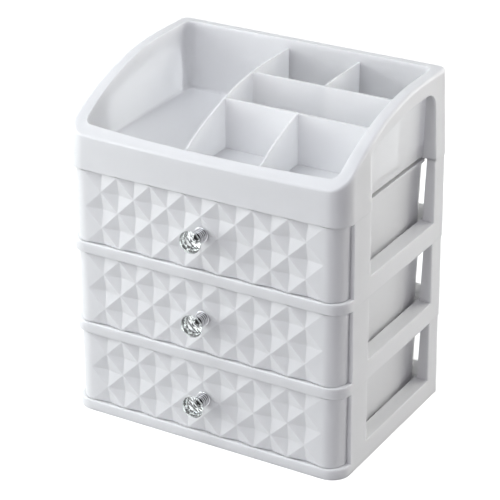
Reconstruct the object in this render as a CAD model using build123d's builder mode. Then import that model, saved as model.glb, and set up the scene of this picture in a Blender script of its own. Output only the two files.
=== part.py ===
from build123d import *
import os
from math import atan, cos, degrees, pi, sin, sqrt

# Makeup organizer: three stacked drawer bays under an open tray with dividers.
# Millimetres. The origin is on the ground under the middle, the fronts face -Y and +Z is up.

# Overall size
width = 248.0
depth = 173.0
bay_count = 3
bay_pitch = 71.5
tray_height = 71.0
front_corner = 16.0
back_corner = 5.0
skin = 2.0

# Bay frame
lip_height = 9.0
lip_round = 1.0
plate_top = 8.4
plate_thickness = 2.2
runner_height = 0.6
runner_width = 3.0
runner_spacing = 150.0
rail_height = 17.4
ledge_width = 13.0
rear_rail_height = 22.5
front_post_setback = 17.3
front_post_width = 26.2
rear_post_width = 20.2
post_foot_thickness = 10.2
post_head_thickness = 7.4
post_lean = 0.7
post_edge_round = 1.0
core_round = 0.3

# Plugs on the posts, and the ribbed pockets that take them
plug_thickness = 4.4
plug_height = 5.5
plug_setback = 3.0
plug_taper = 4.0
plug_clearance = 0.3
pocket_rib = 1.5
pocket_extra_depth = 0.8

# Drawer box
drawer_wall = 2.0
drawer_floor = 2.0
runner_clearance = 0.3
drawer_foot_inset = 17.5
drawer_head_inset = 15.0
drawer_back_corner = 11.0
drawer_bottom_round = 4.0
drawer_back_gap = 4.0
drawer_rim_top = 69.0
drawer_rim_thickness = 2.8
drawer_rim_overhang = 2.2

# Drawer front with its field of pitted diamonds
front_set_in = 1.4
front_side_inset = 3.7
front_bottom = 9.3
front_top = 70.2
front_skin = 2.2
front_wrap_radius = 14.0
closing_gap = 0.5
diamond_columns = 7
diamond_rows = 2
diamond_field_inset = 17.6
pit_depth = 2.8

# Knob
knob_pad_diameter = 13.0
knob_pad_recess = 1.2
base_flange_diameter = 12.4
base_flange_thickness = 1.6
base_rib_diameter = 11.2
base_groove_diameter = 9.2
base_rib_pitch = 2.2
base_rib_count = 3
base_cup_diameter = 11.0
base_cup_thickness = 1.4
crystal_diameter = 18.6
crystal_shoulder_diameter = 15.4
crystal_table_diameter = 9.0
crystal_foot_diameter = 9.4
table_height = 2.0
crown_height = 2.6
girdle_height = 1.0
pavilion_height = 3.0
foot_height = 3.6
crystal_sides = 8
screw_diameter = 4.0
screw_hole_clearance = 0.15
screw_bite = 6.0
screw_tip_gap = 1.0
screw_head_diameter = 8.0
screw_head_height = 2.4
screw_slot_width = 1.2
screw_slot_depth = 1.0
washer_diameter = 11.0
washer_thickness = 0.8

# Tray
tray_side_lean = 2.8
tray_front_lean = 1.6
tray_back_lean = -2.0
tray_back_corner = 8.0
front_bow_radius = 1900.0
rim_flat_length = 40.5
rim_profile_radius = 221.0
rim_depth = 3.0
rim_round = 2.6
side_rim_width = 9.2
front_rim_width = 5.3
back_rim_width = 8.5
tub_wall = 1.8
tub_draft = 1.5
tub_corner = 6.5
tub_floor_height = 13.0
tub_floor_thickness = 2.0
tub_floor_round = 2.5
tub_skirt_gap = 1.8
divider_thickness = 1.5
divider_drop = 7.5
divider_flat_length = 38.5
divider_profile_radius = 266.0
long_divider_x = -17.0
short_divider_x = 47.5
front_cross_y = -20.0
back_cross_y = 22.5
arch_drop = 12.8
arch_flat_length = 40.5
arch_profile_radius = 300.0
arch_back_round = 14.0

half_width = width / 2
half_depth = depth / 2
tray_base = bay_count * bay_pitch
height = tray_base + tray_height
spare = 1.0


def body_outline(inset, z):
    """Plan of the whole body at one height, with its rounded corners."""
    with BuildSketch(Plane.XY.offset(z)) as outline:
        Rectangle(width - 2 * inset, depth - 2 * inset)
        fillet(outline.vertices().group_by(Axis.Y)[0], front_corner - inset)
        fillet(outline.vertices().group_by(Axis.Y)[-1], back_corner - inset)
    return outline.sketch


def block_outline(left_x, right_x, front_y, back_y, z):
    """Plain rectangle between four lines."""
    with BuildSketch(Plane.XY.offset(z)) as outline:
        with Locations(((left_x + right_x) / 2, (front_y + back_y) / 2)):
            Rectangle(right_x - left_x, back_y - front_y)
    return outline.sketch


# Places of the posts, their plugs and the pockets above them, on the right-hand side
front_post = (-half_depth + front_post_setback, -half_depth + front_post_setback + front_post_width)
back_post = (half_depth - rear_post_width, half_depth)
plug_outer = half_width - skin - plug_clearance
plug_inner = plug_outer - plug_thickness
front_plug = (front_post[0] + plug_setback, front_post[1] - plug_setback)
back_plug = (back_post[0] + plug_setback, half_depth - back_corner)


def post_outline(span, back_round, inset, z):
    """Plan of a right-hand post, or of its core, at one height: the post thins and leans in as it rises."""
    share = max(z - rail_height, 0) / (bay_pitch - rail_height)
    outer_x = half_width - post_lean * share
    inner_x = outer_x - post_foot_thickness - (post_head_thickness - post_foot_thickness) * share
    with BuildSketch() as outline:
        add(block_outline(inner_x + inset, outer_x - inset, span[0] + inset, span[1] - inset, 0))
        widest_round = outer_x - inner_x - 2 * inset - core_round
        back_corner_point = outline.vertices().sort_by(Axis.Y)[-2:].sort_by(Axis.X)[-1]
        fillet(back_corner_point, min(max(back_round - inset, core_round), widest_round))
        front_corner_point = outline.vertices().sort_by(Axis.Y)[:2].sort_by(Axis.X)[-1]
        fillet(front_corner_point, max(post_edge_round - inset, core_round))
    return Plane.XY.offset(z) * outline.sketch


def pockets(base_z):
    """Ribbed pockets on the inside of the right-hand wall, one over each post."""
    clear = plug_clearance
    bound = plug_clearance + pocket_rib
    wall = half_width - skin
    with BuildPart() as ribs:
        for front_y, back_y in (front_plug, back_plug):
            with BuildSketch(Plane.XY.offset(base_z)):
                add(block_outline(plug_inner - bound, wall + skin / 2, front_y - bound, back_y + bound, 0))
                add(
                    block_outline(plug_inner - clear, wall, front_y - clear, back_y + clear, 0),
                    mode=Mode.SUBTRACT,
                )
            extrude(amount=plug_height + pocket_extra_depth)
    return ribs.part


# Bay frame: the right-hand half is made first, then mirrored
rail_inside = half_width - ledge_width
with BuildPart() as bay:
    # Base, with its lip round the front
    extrude(body_outline(0, 0), amount=lip_height)
    fillet(bay.edges().group_by(Axis.Z)[-1], lip_round)
    with BuildSketch(Plane.XY.offset(plate_top)):
        add(block_outline(-rail_inside, rail_inside, -half_depth + skin, half_depth - skin, 0))
    extrude(amount=lip_height, mode=Mode.SUBTRACT)
    # Side rail with its flat ledge
    with BuildSketch():
        add(body_outline(0, 0))
        add(block_outline(rail_inside, half_width, front_post[0], half_depth, 0), mode=Mode.INTERSECT)
    extrude(amount=rail_height)
    # Rear rail
    with BuildSketch():
        add(block_outline(0, half_width - post_foot_thickness, half_depth - skin, half_depth, 0))
    extrude(amount=rear_rail_height)
    # Posts
    for span, back_round in ((front_post, post_edge_round), (back_post, back_corner)):
        loft([post_outline(span, back_round, 0, z) for z in (rail_height, bay_pitch)], ruled=True)
    # Hollow underside: under the plate, inside the rail and up the posts
    extrude(body_outline(skin, 0), amount=plate_top - plate_thickness, mode=Mode.SUBTRACT)
    with BuildSketch():
        add(body_outline(skin, 0))
        add(
            block_outline(rail_inside + skin, half_width, front_post[0] + skin, half_depth, 0),
            mode=Mode.INTERSECT,
        )
    extrude(amount=rail_height - skin, mode=Mode.SUBTRACT)
    core_heights = (rail_height - skin, rail_height, bay_pitch - skin)
    for span, back_round in ((front_post, post_edge_round), (back_post, back_corner)):
        core = [post_outline(span, back_round, skin, z) for z in core_heights]
        loft(core, ruled=True, mode=Mode.SUBTRACT)
    # Plugs on the posts and pockets for the plugs of the level below
    for front_y, back_y in (front_plug, back_plug):
        plug = block_outline(plug_inner, plug_outer, front_y, back_y, bay_pitch)
        extrude(plug, amount=plug_height, taper=plug_taper)
    add(pockets(0))
    # Low runner that carries the drawer
    with BuildSketch(Plane.XY.offset(plate_top)):
        with Locations((runner_spacing / 2, 0)):
            Rectangle(runner_width, depth - 2 * skin)
    extrude(amount=runner_height)
    split(bisect_by=Plane.YZ, keep=Keep.TOP)
    mirror(about=Plane.YZ)

# Drawer: the box and its rim
box_bottom = plate_top + runner_height + runner_clearance
box_back = half_depth - skin - drawer_back_gap
front_plane = -half_depth + front_set_in
front_inside = front_plane + front_skin
front_middle = (front_bottom + front_top) / 2
diamond_height = (front_top - front_bottom) / diamond_rows
diamond_width = (width - 2 * diamond_field_inset) / diamond_columns


def box_outline(inset, z):
    """Plan of the drawer's box at one height: the box widens as it rises."""
    share = (z - box_bottom) / (drawer_rim_top - box_bottom)
    half = half_width - drawer_foot_inset + (drawer_foot_inset - drawer_head_inset) * share - inset
    with BuildSketch() as outline:
        add(block_outline(-half, half, front_inside, box_back - inset, 0))
        fillet(outline.vertices().group_by(Axis.Y)[-1], drawer_back_corner - inset)
    return Plane.XY.offset(z) * outline.sketch


def box_block(inset, bottom_z, top_z):
    """Solid of the box, or of its inside, with rounded bottom edges at the sides and the back."""
    with BuildPart() as block:
        loft([box_outline(inset, bottom_z), box_outline(inset, top_z)], ruled=True)
        bottom_edges = block.edges().group_by(Axis.Z)[0]
        fillet(bottom_edges.sort_by(Axis.Y)[1:], drawer_bottom_round - inset)
    return block.part


def front_outline(inset, z):
    """Plan of the drawer's front: a wide shallow U with rounded corners."""
    half = half_width - front_side_inset - inset
    with BuildSketch(Plane.XY.offset(z)) as outline:
        add(block_outline(-half, half, front_plane + inset, front_post[0] - closing_gap, 0))
        fillet(outline.vertices().group_by(Axis.Y)[0], front_wrap_radius - inset)
    return outline.sketch


def pit_places(plane_y):
    """Middle of each diamond: every other row has one diamond less."""
    places = []
    for row in range(-diamond_rows, diamond_rows + 1):
        columns = diamond_columns - row % 2
        for column in range(columns):
            x = (column - (columns - 1) / 2) * diamond_width
            places.append((x, plane_y, front_middle + row * diamond_height / 2))
    return places


# One pit: a shallow pyramid whose edges meet its neighbours' in sharp ridges
with BuildPart() as pit:
    with BuildSketch(Plane.XZ) as diamond:
        with BuildLine():
            Polyline(
                (-diamond_width / 2, 0),
                (0, -diamond_height / 2),
                (diamond_width / 2, 0),
                (0, diamond_height / 2),
                close=True,
            )
        make_face()
    loft([diamond.sketch, Vertex(0, pit_depth, 0)], ruled=True)

# Space behind the front panel: the pits stand out into it, so the panel keeps one thickness
with BuildPart() as front_hollow:
    extrude(front_outline(front_skin, front_bottom - spare), amount=front_top - front_bottom + 2 * spare)
    with Locations(*pit_places(front_inside)):
        add(pit.part, mode=Mode.SUBTRACT)

with BuildPart() as front_panel:
    extrude(front_outline(0, front_bottom), amount=front_top - front_bottom)
    add(front_hollow.part, mode=Mode.SUBTRACT)

pad_face = front_plane + knob_pad_recess
pad_inside = front_inside + pit_depth
with BuildPart() as drawer_moulding:
    add(box_block(0, box_bottom, drawer_rim_top))
    # Rim round the sides and the back
    with BuildSketch(Plane.XY.offset(drawer_rim_top - drawer_rim_thickness)):
        add(box_outline(-drawer_rim_overhang, drawer_rim_top).moved(Location((0, 0, -drawer_rim_top))))
    extrude(amount=drawer_rim_thickness)
    add(box_block(drawer_wall, box_bottom + drawer_floor, drawer_rim_top + spare), mode=Mode.SUBTRACT)
    # Front panel and the pits in its face
    add(front_panel.part)
    with Locations(*pit_places(front_plane)):
        add(pit.part, mode=Mode.SUBTRACT)
    # Round pad and hole for the knob
    with BuildSketch(Plane.XZ.offset(-pad_face)):
        with Locations((0, front_middle)):
            Circle(knob_pad_diameter / 2)
            Circle(screw_diameter / 2 + screw_hole_clearance, mode=Mode.SUBTRACT)
    extrude(amount=pad_face - pad_inside)
    with BuildSketch(Plane.XZ.offset(-front_plane)):
        with Locations((0, front_middle)):
            Circle(screw_diameter / 2 + screw_hole_clearance)
    extrude(amount=front_plane - pad_inside - spare, mode=Mode.SUBTRACT)

# Knob: ribbed base, crystal, and the screw and washer that hold it from inside the drawer
base_length = base_flange_thickness + base_rib_count * base_rib_pitch + base_cup_thickness
base_front = pad_face - base_length
bore_depth = screw_bite + screw_tip_gap
with BuildPart() as knob_base:
    with BuildSketch(Plane.YZ) as base_profile:
        with BuildLine():
            Polyline(
                (pad_face, 0),
                (pad_face, base_flange_diameter / 2),
                (pad_face - base_flange_thickness, base_flange_diameter / 2),
                (pad_face - base_flange_thickness, base_groove_diameter / 2),
            )
            for rib in range(base_rib_count):
                rib_back = pad_face - base_flange_thickness - rib * base_rib_pitch
                Polyline(
                    (rib_back, base_groove_diameter / 2),
                    (rib_back - base_rib_pitch / 2, base_rib_diameter / 2),
                    (rib_back - base_rib_pitch, base_groove_diameter / 2),
                )
            Polyline(
                (base_front + base_cup_thickness, base_groove_diameter / 2),
                (base_front + base_cup_thickness, base_cup_diameter / 2),
                (base_front, base_cup_diameter / 2),
                (base_front, 0),
                (pad_face, 0),
            )
        make_face()
    revolve(axis=Axis.Y)
    with BuildSketch(Plane.XZ.offset(-pad_face)):
        Circle(screw_diameter / 2 + screw_hole_clearance)
    extrude(amount=bore_depth, mode=Mode.SUBTRACT)


def ring_points(count, diameter, y, turn):
    """Corners of a regular cut round the knob's axis, at one distance from the drawer."""
    points = []
    for corner in range(count):
        angle = 2 * pi * (corner + turn) / count
        points.append((diameter / 2 * sin(angle), y, diameter / 2 * cos(angle)))
    return points


shoulder_back = base_front - foot_height
girdle_back = shoulder_back - pavilion_height
girdle_front = girdle_back - girdle_height
shoulder_front = girdle_front - crown_height
crystal_front = shoulder_front - table_height
with BuildPart() as crystal:
    ConvexPolyhedron(
        ring_points(crystal_sides, crystal_foot_diameter, base_front, 0)
        + ring_points(crystal_sides, crystal_shoulder_diameter, shoulder_back, 0.5)
        + ring_points(2 * crystal_sides, crystal_diameter, girdle_back, 0)
        + ring_points(2 * crystal_sides, crystal_diameter, girdle_front, 0)
        + ring_points(crystal_sides, crystal_shoulder_diameter, shoulder_front, 0.5)
        + ring_points(crystal_sides, crystal_table_diameter, crystal_front, 0)
    )

washer_back = pad_inside + washer_thickness
with BuildPart() as washer:
    with BuildSketch(Plane.XZ.offset(-pad_inside)):
        Circle(washer_diameter / 2)
        Circle(screw_diameter / 2 + screw_hole_clearance, mode=Mode.SUBTRACT)
    extrude(amount=-washer_thickness)

with BuildPart() as knob_screw:
    with BuildSketch(Plane.XZ.offset(-washer_back)):
        Circle(screw_head_diameter / 2)
    extrude(amount=-screw_head_height)
    chamfer(knob_screw.edges().group_by(Axis.Y)[-1], screw_head_height / 3)
    with BuildSketch(Plane.XZ.offset(-washer_back)):
        Circle(screw_diameter / 2)
    extrude(amount=washer_back - pad_face + screw_bite)
    with BuildSketch(Plane.XZ.offset(-washer_back - screw_head_height)):
        Rectangle(screw_head_diameter, screw_slot_width)
        Rectangle(screw_slot_width, screw_head_diameter)
    extrude(amount=screw_slot_depth, mode=Mode.SUBTRACT)

# Tray: every height is above the top of the uppermost bay
tub_floor = tray_base + tub_floor_height


tray_front = -half_depth + tray_front_lean
tray_back = half_depth - tray_back_lean
tray_half = half_width - tray_side_lean


def bowed_outline(half, front_y, back_y, corners, z):
    """Plan of the tray at one height: its front bows forward between the front corners."""
    side_y = front_y + half**2 / (2 * front_bow_radius)
    with BuildSketch() as outline:
        with BuildLine():
            ThreePointArc((-half, side_y), (0, front_y), (half, side_y))
            Polyline((half, side_y), (half, back_y), (-half, back_y), (-half, side_y))
        make_face()
        fillet(outline.vertices().sort_by(Axis.Y)[:2], corners[0])
        fillet(outline.vertices().sort_by(Axis.Y)[-2:], corners[1])
    return Plane.XY.offset(z) * outline.sketch


def skirt_block(inset):
    """Solid inside the leaning outer skin."""
    corners = (front_corner - inset, tray_back_corner - inset)
    rim = bowed_outline(tray_half - inset, tray_front + inset, tray_back - inset, corners, height)
    with BuildPart() as block:
        loft([body_outline(inset, tray_base), rim], ruled=True)
    return block.part


def side_outline(front_y, back_y, drop, flat_length, radius):
    """Side view of what lies under a curve that runs level at the back and bends down to the front."""
    top_z = height - drop
    bottom_z = tray_base - spare
    flat_start = half_depth - flat_length
    front_z = top_z - radius + sqrt(radius**2 - (flat_start - front_y) ** 2)
    with BuildSketch() as outline:
        with BuildLine():
            TangentArc((flat_start, top_z), (front_y, front_z), tangent=(-1, 0))
            Polyline((front_y, front_z), (front_y, bottom_z), (back_y, bottom_z))
            Polyline((back_y, bottom_z), (back_y, top_z), (flat_start, top_z))
        make_face()
    return outline.sketch


def under_curve(drop, flat_length, radius):
    """Everything under a side curve, right across the tray."""
    reach = depth / 2 + abs(tray_back_lean) + spare
    with BuildPart() as block:
        extrude(Plane.YZ * side_outline(-reach, reach, drop, flat_length, radius), amount=width, both=True)
    return block.part


def tub_outline(grow, z):
    """Plan of the tub's inside at one height, grown by a wall where needed: the tub widens as it rises."""
    tightening = tub_draft * (height - z) / (height - tub_floor) - grow
    half = tray_half - side_rim_width - tightening
    front_y = tray_front + front_rim_width + tightening
    back_y = tray_back - back_rim_width - tightening
    return bowed_outline(half, front_y, back_y, (tub_corner + grow, tub_corner + grow), z)


def tub_block(grow, bottom_z, top_z):
    """Drafted solid of the tub's inside between two heights, grown by a wall where needed."""
    draft_angle = degrees(atan(tub_draft / (height - tub_floor)))
    with BuildPart() as block:
        extrude(tub_outline(grow, bottom_z), amount=top_z - bottom_z, taper=-draft_angle)
    return block.part


under_rim = under_curve(0, rim_flat_length, rim_profile_radius)
with BuildPart() as skirt_hollow:
    add(skirt_block(skin))
    add(under_curve(rim_depth, rim_flat_length, rim_profile_radius), mode=Mode.INTERSECT)

with BuildPart() as tub_inside:
    add(tub_block(0, tub_floor, height))
    fillet(tub_inside.edges().group_by(Axis.Z)[0], tub_floor_round)

with BuildPart() as tub:
    add(tub_block(tub_wall, tray_base + tub_skirt_gap, height))
    add(under_rim, mode=Mode.INTERSECT)
    add(tub_block(0, tray_base, tub_floor - tub_floor_thickness), mode=Mode.SUBTRACT)

# Dividers: one along the tray, two across it and two short ones, all under one lower curve
half_divider = divider_thickness / 2
with BuildPart() as dividers:
    with BuildSketch(Plane.XY.offset(tub_floor - tub_floor_thickness / 2)):
        with Locations((long_divider_x, 0)):
            Rectangle(divider_thickness, depth)
        for cross_y in (front_cross_y, back_cross_y):
            near_y = cross_y - half_divider
            add(block_outline(long_divider_x, half_width, near_y, near_y + divider_thickness, 0))
        for front_y, back_y in ((-half_depth, front_cross_y), (back_cross_y, half_depth)):
            left_x = short_divider_x - half_divider
            add(block_outline(left_x, left_x + divider_thickness, front_y, back_y, 0))
    extrude(amount=tray_height)
    add(under_curve(divider_drop, divider_flat_length, divider_profile_radius), mode=Mode.INTERSECT)
    add(tub_block(tub_wall / 2, tray_base, height), mode=Mode.INTERSECT)

# Arch in the tray's side: it goes on from the opening between the posts below
arch_inside = tray_half - side_rim_width + 2 * tub_wall
with BuildPart() as arch:
    with BuildSketch(Plane.YZ.offset(arch_inside)) as opening:
        add(side_outline(front_post[1], back_post[0], arch_drop, arch_flat_length, arch_profile_radius))
        fillet(opening.vertices().group_by(Axis.X)[-1].sort_by(Axis.Y)[-1], arch_back_round)
    extrude(amount=half_width)

# Webs that close the tray's corners beside the arches, in line with the posts' faces, and the pockets
with BuildPart() as webs:
    for front_y in (front_post[1] - skin, back_post[0]):
        with BuildSketch(Plane.XY.offset(tray_base)):
            add(block_outline(arch_inside - 3 * tub_wall, half_width, front_y, front_y + skin, 0))
        extrude(amount=tray_height)
    add(skirt_block(skin / 2), mode=Mode.INTERSECT)
    add(under_curve(rim_depth / 2, rim_flat_length, rim_profile_radius), mode=Mode.INTERSECT)
    add(pockets(tray_base))
    mirror(about=Plane.YZ)

with BuildPart() as tray:
    add(skirt_block(0))
    add(under_rim, mode=Mode.INTERSECT)
    rim_faces = tray.faces().sort_by(Axis.Z)[-2:]
    rim_seam = set(rim_faces[0].edges()) & set(rim_faces[1].edges())
    rim_edges = [edge for face in rim_faces for edge in face.edges() if edge not in rim_seam]
    fillet(rim_edges, rim_round)
    add(skirt_hollow.part, mode=Mode.SUBTRACT)
    add(tub.part)
    add(webs.part)
    add(tub_inside.part, mode=Mode.SUBTRACT)
    add(dividers.part)
    add(arch.part, mode=Mode.SUBTRACT)
    add(arch.part.mirror(Plane.YZ), mode=Mode.SUBTRACT)


def save(piece, name):
    piece.label = name
    export_step(piece, f"parts/{name}.step")


os.makedirs("parts", exist_ok=True)
save(tray.part, "tray")
for level in range(bay_count):
    at_bay = Location((0, 0, level * bay_pitch))
    at_knob = Location((0, 0, level * bay_pitch + front_middle))
    number = level + 1
    save(bay.part.moved(at_bay), f"frame_{number}")
    save(drawer_moulding.part.moved(at_bay), f"drawer_{number}")
    save(knob_base.part.moved(at_knob), f"knob_base_{number}")
    save(crystal.part.moved(at_knob), f"crystal_{number}")
    save(knob_screw.part.moved(at_knob), f"knob_screw_{number}")
    save(washer.part.moved(at_knob), f"washer_{number}")
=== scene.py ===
from math import cos, pi, radians, sin, sqrt

import bpy
from mathutils import Matrix, Vector


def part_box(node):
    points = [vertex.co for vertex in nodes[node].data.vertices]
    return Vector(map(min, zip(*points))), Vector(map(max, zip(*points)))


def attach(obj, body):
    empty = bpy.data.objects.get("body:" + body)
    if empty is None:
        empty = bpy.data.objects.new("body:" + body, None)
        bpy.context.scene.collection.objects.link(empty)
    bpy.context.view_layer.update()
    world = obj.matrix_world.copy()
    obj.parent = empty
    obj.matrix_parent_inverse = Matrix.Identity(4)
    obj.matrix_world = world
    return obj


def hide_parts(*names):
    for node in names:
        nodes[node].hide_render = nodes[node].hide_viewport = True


# Makeup organizer: three drawer bays in white plastic under a divided tray, with crystal knobs.
# Metres, in the same frame as the solids: origin on the ground, fronts towards -Y, +Z up.

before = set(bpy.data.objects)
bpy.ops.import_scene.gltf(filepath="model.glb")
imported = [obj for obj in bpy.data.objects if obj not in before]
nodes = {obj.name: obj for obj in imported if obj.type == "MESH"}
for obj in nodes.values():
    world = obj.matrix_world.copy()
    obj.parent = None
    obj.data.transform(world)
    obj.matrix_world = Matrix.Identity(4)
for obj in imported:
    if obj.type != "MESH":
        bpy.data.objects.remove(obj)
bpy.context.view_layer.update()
levels = (1, 2, 3)

# The photograph's camera
view_azimuth = radians(30.48)
view_elevation = radians(25.5)
view_distance = 1.652
view_target = Vector((-0.00665, 0, 0.13329))
view_roll = radians(-0.2)
lens_length = 147.87
sensor_width = 36


def direction(azimuth, elevation):
    """Unit vector towards a place round the object: azimuth 0 is in front of the drawers."""
    return Vector((sin(azimuth) * cos(elevation), -cos(azimuth) * cos(elevation), sin(elevation)))


def make_camera():
    camera = bpy.data.objects.new("camera", bpy.data.cameras.new("camera"))
    camera.data.sensor_width = sensor_width
    camera.data.lens = lens_length
    towards = direction(view_azimuth, view_elevation)
    turn = towards.to_track_quat("Z", "Y").to_matrix() @ Matrix.Rotation(view_roll, 3, "Z")
    camera.matrix_world = Matrix.Translation(view_target + towards * view_distance) @ turn.to_4x4()
    bpy.context.collection.objects.link(camera)
    bpy.context.scene.camera = camera


def pick(sockets, key):
    """A socket by its place or its identifier."""
    if isinstance(key, int):
        return sockets[key] if len(sockets) else None
    return next(socket for socket in sockets if socket.identifier == key)


class Wire:
    """A socket in a node tree, with the arithmetic that the finishes need."""

    def __init__(self, tree, socket=None):
        self.tree = tree
        self.socket = socket

    def node(self, kind, settings=(), sockets=(), output=0):
        """Adds a node: its settings are set first, then its sockets get values or links."""
        made = self.tree.nodes.new(kind)
        for name, value in dict(settings).items():
            if name == "stops":
                ramp = made.color_ramp
                while len(ramp.elements) < len(value):
                    ramp.elements.new(1.0)
                for element, (position, colour) in zip(ramp.elements, value):
                    element.position = position
                    element.color = (*colour, 1.0)
            else:
                setattr(made, name, value)
        for name, value in dict(sockets).items():
            if isinstance(value, Wire):
                self.tree.links.new(value.socket, pick(made.inputs, name))
            else:
                pick(made.inputs, name).default_value = value
        return Wire(self.tree, pick(made.outputs, output))

    def maths(self, operation, first, second=0.0):
        return self.node("ShaderNodeMath", {"operation": operation}, {0: first, 1: second})

    def __add__(self, other):
        return self.maths("ADD", self, other)

    def __sub__(self, other):
        return self.maths("SUBTRACT", self, other)

    def __rsub__(self, other):
        return self.maths("SUBTRACT", other, self)

    def __mul__(self, other):
        return self.maths("MULTIPLY", self, other)

    def __pow__(self, other):
        return self.maths("POWER", self, other)

    __radd__ = __add__
    __rmul__ = __mul__


def blank_tree(owner):
    owner.use_nodes = True
    owner.node_tree.nodes.clear()
    return Wire(owner.node_tree)


# Finishes
plastic_colour = (0.945, 0.95, 0.955)
plastic_shade = (0.925, 0.93, 0.94)
plastic_index = 1.5
edge_softness = 0.0008
milky_depth = 0.004
silver_plating = (0.72, 0.72, 0.74)
# Painted shade: the dark colour of the grooves between the knob bases' ribs
groove_painted_shade = (0.015, 0.014, 0.018)
zinc_colour = (0.55, 0.55, 0.57)
crystal_colour = (0.98, 0.99, 1.0)
crystal_index = 1.55
foil_colour = (0.8, 0.82, 0.81)
# Painted dark reflection: a dark spot in the middle of the crystals' foil
painted_dark_reflection = (0.012, 0.01, 0.01)
# Squares of the distance from the knob's line, where 0.25 is the edge of the piece
groove_shade_edge = 0.176
rib_shoulder = 0.198
dark_reflection_edge = 0.009
foil_edge = 0.012
# A face counts as turned to the rear above this share of +Y in its normal
rearward = 0.1


def finished(name, make_surface):
    """A new material whose output is what make_surface returns."""
    material = bpy.data.materials.new(name)
    tree = blank_tree(material)
    surface = make_surface(tree)
    tree.node("ShaderNodeOutputMaterial", {}, {"Surface": surface})
    return material


def noise(tree, scale, detail):
    place = tree.node("ShaderNodeTexCoord", output="Object")
    return tree.node("ShaderNodeTexNoise", {}, {"Vector": place, "Scale": scale, "Detail": detail})


def principled(tree, sockets):
    return tree.node("ShaderNodeBsdfPrincipled", {}, sockets)


def bumped(tree, height, strength, distance, normal):
    sockets = {"Strength": strength, "Distance": distance, "Height": height, "Normal": normal}
    return tree.node("ShaderNodeBump", {}, sockets)


def moulded_plastic(tree):
    """White styrene: satin gloss, a faint milky depth, soft edges and slight sink marks."""
    cloud = noise(tree, 14.0, 3.0)
    waves = noise(tree, 30.0, 1.0)
    grain = noise(tree, 1400.0, 1.0)
    colour = tree.node(
        "ShaderNodeMix",
        {"data_type": "RGBA"},
        {"Factor_Float": cloud, "A_Color": (*plastic_colour, 1), "B_Color": (*plastic_shade, 1)},
        output="Result_Color",
    )
    soft_edge = tree.node("ShaderNodeBevel", {"samples": 4}, {"Radius": edge_softness})
    sink = bumped(tree, waves, 0.1, 0.0004, soft_edge)
    return principled(
        tree,
        {
            "Base Color": colour,
            "Roughness": cloud * 0.06 + 0.285,
            "IOR": plastic_index,
            "Subsurface Weight": 1.0,
            "Subsurface Radius": (1.0, 1.0, 1.0),
            "Subsurface Scale": milky_depth,
            "Normal": bumped(tree, grain, 0.03, 0.0001, sink),
        },
    )


def from_axis(tree, stops):
    """Colours by the square of the distance from the knob's line, which is 0.25 at the edge of the piece."""
    place = tree.node("ShaderNodeTexCoord", output="Generated")
    across = tree.node("ShaderNodeSeparateXYZ", {}, {"Vector": place}, output="X") - 0.5
    upward = tree.node("ShaderNodeSeparateXYZ", {}, {"Vector": place}, output="Z") - 0.5
    return tree.node("ShaderNodeValToRGB", {"stops": stops}, {"Fac": across * across + upward * upward})


def plated_metal(tree):
    """Bright plating with a faint smear, and painted shade darkening the grooves between the ribs."""
    smear = noise(tree, 260.0, 2.0)
    # Painted shade in the grooves between the ribs, silver plating on the rib tops
    colour = from_axis(tree, ((groove_shade_edge, groove_painted_shade), (rib_shoulder, silver_plating)))
    return principled(tree, {"Base Color": colour, "Metallic": 1.0, "Roughness": smear * 0.06 + 0.06})


def zinc_steel(tree):
    smear = noise(tree, 500.0, 3.0)
    sockets = {"Base Color": (*zinc_colour, 1), "Metallic": 1.0, "Roughness": smear * 0.15 + 0.3}
    return principled(tree, sockets)


def cut_crystal(tree):
    sockets = {"Roughness": 0.0, "IOR": crystal_index, "Transmission Weight": 1.0}
    return principled(tree, {"Base Color": (*crystal_colour, 1), **sockets})


def mirror_foil(tree):
    """Silvered back of the cut crystal, seen through its front, with a painted dark reflection in its
    middle.
    """
    cloud = noise(tree, 700.0, 2.0)
    # Painted dark reflection in the middle of the foil, silver foil round it
    colour = from_axis(tree, ((dark_reflection_edge, painted_dark_reflection), (foil_edge, foil_colour)))
    return principled(tree, {"Base Color": colour, "Metallic": 1.0, "Roughness": cloud * 0.06 + 0.06})


def give(piece, material, behind=None):
    """The whole piece takes the material, apart from the faces turned to the rear where behind is given."""
    piece.data.materials.clear()
    piece.data.materials.append(material)
    if behind:
        piece.data.materials.append(behind)
        for face in piece.data.polygons:
            face.material_index = int(face.normal.y > rearward)


# Knob bases, turned with round ribs
base_sides = 64
flange_radius = 0.0062
flange_thickness = 0.0016
groove_radius = 0.0046
rib_radius = 0.0056
rib_pitch = 0.0022
rib_count = 3
cup_radius = 0.0055
edge_round = 0.0004
bore_radius = 0.00215
bore_gap = 0.0005
crystal_gap = 0.00005
round_steps = 5
rib_steps = 12


def ring_profile(radius, back, front):
    """Profile of a disc with round edges, from its back to its front."""
    points = []
    for middle, first in ((back - edge_round, 90), (front + edge_round, 0)):
        for step in range(round_steps):
            turn = radians(first - 90 * step / (round_steps - 1))
            points.append((radius - edge_round * (1 - cos(turn)), middle + edge_round * sin(turn)))
    return points


def base_profile(back, front, bore_bottom):
    """Radius and place of every corner: bore, flange, ribs and cup."""
    flange_front = back - flange_thickness
    points = [(bore_radius, bore_bottom), (bore_radius, back)]
    points += ring_profile(flange_radius, back, flange_front)
    for rib in range(rib_count):
        rib_back = flange_front - rib * rib_pitch
        for step in range(rib_steps):
            share = step / rib_steps
            swell = sqrt(1 - (2 * share - 1) ** 2) * (rib_radius - groove_radius)
            points.append((groove_radius + swell, rib_back - share * rib_pitch))
    cup_back = flange_front - rib_count * rib_pitch
    return points + [(groove_radius, cup_back)] + ring_profile(cup_radius, cup_back, front)


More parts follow.
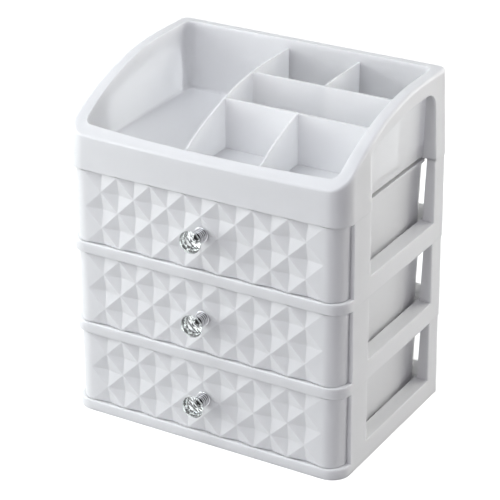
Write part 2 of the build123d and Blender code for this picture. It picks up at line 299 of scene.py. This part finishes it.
def turned(name, middle, profile):
    """Closed round mesh about a line along Y, from its profile."""
    points = []
    for radius, place in profile:
        for side in range(base_sides):
            turn = 2 * pi * side / base_sides
            points.append((middle.x + radius * sin(turn), place, middle.z + radius * cos(turn)))
    first = range(base_sides)
    last = range(len(points) - base_sides, len(points))
    faces = [tuple(first), tuple(reversed(last))]
    for start in range(0, len(points) - base_sides, base_sides):
        for side in range(base_sides):
            here, beside = start + side, start + (side + 1) % base_sides
            faces.append((here, here + base_sides, beside + base_sides, beside))
    mesh = bpy.data.meshes.new(name)
    mesh.from_pydata(points, [], faces)
    mesh.shade_smooth()
    mesh.set_sharp_from_angle(angle=radians(45))
    piece = bpy.data.objects.new(name, mesh)
    bpy.context.collection.objects.link(piece)
    return piece


def turned_base(level):
    node = f"knob_base_{level}"
    low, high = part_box(node)
    screw_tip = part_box(f"knob_screw_{level}")[0].y
    profile = base_profile(high.y, low.y + crystal_gap, screw_tip - bore_gap)
    piece = turned(f"ribbed_base_{level}", (low + high) / 2, profile)
    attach(piece, f"drawer_{level}_body")
    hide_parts(node)
    return piece


# Finishes of the pieces
white = finished("white_plastic", moulded_plastic)
plated = finished("plated_metal", plated_metal)
steel = finished("zinc_steel", zinc_steel)
crystal = finished("cut_crystal", cut_crystal)
foil = finished("mirror_foil", mirror_foil)
give(nodes["tray"], white)
for level in levels:
    give(nodes[f"frame_{level}"], white)
    give(nodes[f"drawer_{level}"], white)
    give(nodes[f"knob_base_{level}"], plated)
    give(turned_base(level), plated)
    give(nodes[f"crystal_{level}"], crystal, foil)
    give(nodes[f"knob_screw_{level}"], steel)
    give(nodes[f"washer_{level}"], steel)


# Floor, light and surroundings
floor_half = 3.0
floor_shade = 0.5
floor_light = 0.82
softbox_size = 1.0
softbox_distance = 1.6
cool = (0.96, 1.0, 1.0)
blue = (0.94, 0.985, 1.05)
warm = (0.99, 1.0, 0.95)
# Name, azimuth, elevation, watts and colour
softboxes = (
    ("softbox_left_side", -75, 20, 11.3, cool),
    ("softbox_left", -55, 8, 4.7, cool),
    ("softbox_left_front", -35, 8, 5.4, cool),
    ("softbox_high", -30, 45, 3.4, cool),
    ("softbox_top", -30, 75, 7.9, blue),
    ("softbox_right", 120, 20, 2.2, warm),
    ("softbox_right_back", 140, 20, 12.2, warm),
)
glow_colour = (1.0, 0.96, 1.08)
glow_sharpness = 2.0
# Azimuth, elevation and strength
glows = ((135, 10, 0.36), (0, 10, 0.48), (50, 10, 0.12))
wall_colour = (0.97, 0.98, 1.0)
wall_light = 0.55
ceiling_light = 0.3
# Azimuth, elevation and sharpness of the dark patch that the crystals mirror
dark_patch = (30, 35, 16.0)


def make_floor():
    mesh = bpy.data.meshes.new("floor")
    corners = [(floor_half * x, floor_half * y, 0) for x, y in ((-1, -1), (1, -1), (1, 1), (-1, 1))]
    mesh.from_pydata(corners, [], [(0, 1, 2, 3)])
    floor = bpy.data.objects.new("floor", mesh)
    bpy.context.collection.objects.link(floor)
    give(floor, finished("floor", floor_surface))


def ray(tree, kind):
    return tree.node("ShaderNodeLightPath", output=f"Is {kind} Ray")


def mirrored(tree):
    """At least 1 for what is seen in a reflection or through the crystal."""
    return ray(tree, "Glossy") + ray(tree, "Transmission")


def floor_surface(tree):
    """Pale matt floor that reads as white to the camera and keeps a soft shadow."""
    matt = tree.node("ShaderNodeBsdfDiffuse", {}, {"Color": (floor_shade, floor_shade, floor_shade, 1)})
    white_light = tree.node("ShaderNodeEmission", {}, {"Color": (1, 1, 1, 1), "Strength": floor_light})
    paper = tree.node("ShaderNodeAddShader", {}, {0: matt, 1: white_light})
    return tree.node("ShaderNodeMixShader", {}, {0: ray(tree, "Camera") + mirrored(tree), 1: matt, 2: paper})


def make_softbox(name, azimuth, elevation, power, colour):
    """Square softbox that faces the object."""
    lamp = bpy.data.objects.new(name, bpy.data.lights.new(name, "AREA"))
    lamp.data.size = softbox_size
    lamp.data.energy = power
    lamp.data.color = colour
    towards = direction(radians(azimuth), radians(elevation))
    turn = towards.to_track_quat("Z", "Y").to_matrix().to_4x4()
    lamp.matrix_world = Matrix.Translation(view_target + towards * softbox_distance) @ turn
    bpy.context.collection.objects.link(lamp)


def background(tree, colour, strength):
    return tree.node("ShaderNodeBackground", {}, {"Color": (*colour, 1), "Strength": strength})


def make_world():
    """Soft glow from three sides, pale walls in every reflection, and white straight behind the object."""
    world = bpy.data.worlds.new("studio")
    bpy.context.scene.world = world
    tree = blank_tree(world)
    towards = tree.node("ShaderNodeTexCoord", output="Generated")

    def facing(azimuth, elevation, sharpness):
        """1 towards the given place, and less the further a direction lies from it."""
        middle = tuple(direction(radians(azimuth), radians(elevation)))
        operation = {"operation": "DOT_PRODUCT"}
        along = tree.node("ShaderNodeVectorMath", operation, {0: towards, 1: middle}, "Value")
        return along.maths("MAXIMUM", along, 0.0) ** sharpness

    glow = 0.0
    for azimuth, elevation, level in glows:
        glow = facing(azimuth, elevation, glow_sharpness) * level + glow
    pale = (facing(0, 90, 1.0) * ceiling_light + wall_light) * (1.0 - facing(*dark_patch))
    room = background(tree, glow_colour, glow)
    walls = background(tree, wall_colour, pale)
    paper = background(tree, (1, 1, 1), 1.0)
    around = tree.node("ShaderNodeMixShader", {}, {0: mirrored(tree), 1: room, 2: walls})
    surface = tree.node("ShaderNodeMixShader", {}, {0: ray(tree, "Camera"), 1: around, 2: paper})
    tree.node("ShaderNodeOutputWorld", {}, {"Surface": surface})


make_camera()
make_floor()
for softbox in softboxes:
    make_softbox(*softbox)
make_world()
bpy.context.scene.view_settings.view_transform = "Standard"
